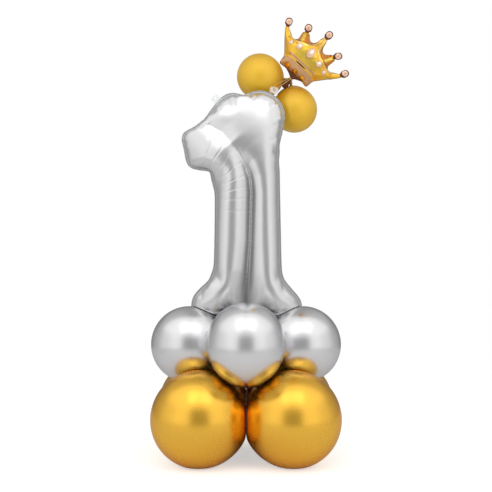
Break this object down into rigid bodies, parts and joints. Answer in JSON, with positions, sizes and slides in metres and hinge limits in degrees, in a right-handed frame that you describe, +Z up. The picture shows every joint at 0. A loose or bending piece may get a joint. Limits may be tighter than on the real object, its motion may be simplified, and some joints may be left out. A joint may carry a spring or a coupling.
{
  "type": "balloon column",
  "caption": "Free-standing foil number-one balloon on stacked nests of round latex balloons, with a foil crown and small latex balloons tied at its upper right.",
  "frame": {"origin": "on the floor, under the middle of the whole object's outline; the column's own axis is 17 mm to the left of it, at x = -0.017", "axes": "+Z up, the front with the number facing -Y, +X to the viewer's right"},
  "size_m": [0.6497, 0.628, 1.4423],
  "materials": {
    "gold_latex": "metallic chrome-look latex",
    "silver_latex": "metallic chrome-look latex",
    "pearl_gold_latex": "pearl latex",
    "silver_film": "mirror, metallised plastic film",
    "gold_film": "mirror, metallised plastic film with a printed pattern",
    "clear_film": "clear film",
    "ribbon": "satin ribbon"
  },
  "bodies": {
    "base": {"gold_balloon_front_left": "gold_latex", "gold_balloon_front_right": "gold_latex", "gold_balloon_back_left": "gold_latex", "gold_balloon_back_right": "gold_latex", "silver_balloon_front": "silver_latex", "silver_balloon_back": "silver_latex", "silver_balloon_left": "silver_latex", "silver_balloon_right": "silver_latex", "gold_tie_over": "ribbon", "gold_tie_under": "ribbon", "silver_tie_over": "ribbon", "silver_tie_under": "ribbon", "centre_ribbon": "ribbon"},
    "number": {"number_front_film": "silver_film", "number_back_film": "silver_film", "number_valve": "clear_film", "hanging_tab_left": "clear_film", "hanging_tab_right": "clear_film"},
    "topper": {"topper_balloon_upper": "pearl_gold_latex", "topper_balloon_lower": "pearl_gold_latex", "topper_ribbon": "ribbon"},
    "crown": {"crown_front_film": "gold_film", "crown_back_film": "gold_film", "crown_valve": "clear_film"}
  },
  "joints": [
    {"name": "number_turn", "type": "hinge", "parent": "base", "child": "number", "pos_m": [-0.017, 0, 0.408], "axis": [0, 0, 1], "range_deg": [-3, 3]},
    {"name": "topper_swing", "type": "hinge", "parent": "number", "child": "topper", "pos_m": [0.075, 0, 1.196], "axis": [0, 1, 0], "range_deg": [-2, 3]},
    {"name": "crown_tilt", "type": "hinge", "parent": "topper", "child": "crown", "pos_m": [0.13309, 0.064, 1.2432], "axis": [0, 1, 0], "range_deg": [-1, 5]}
  ]
}
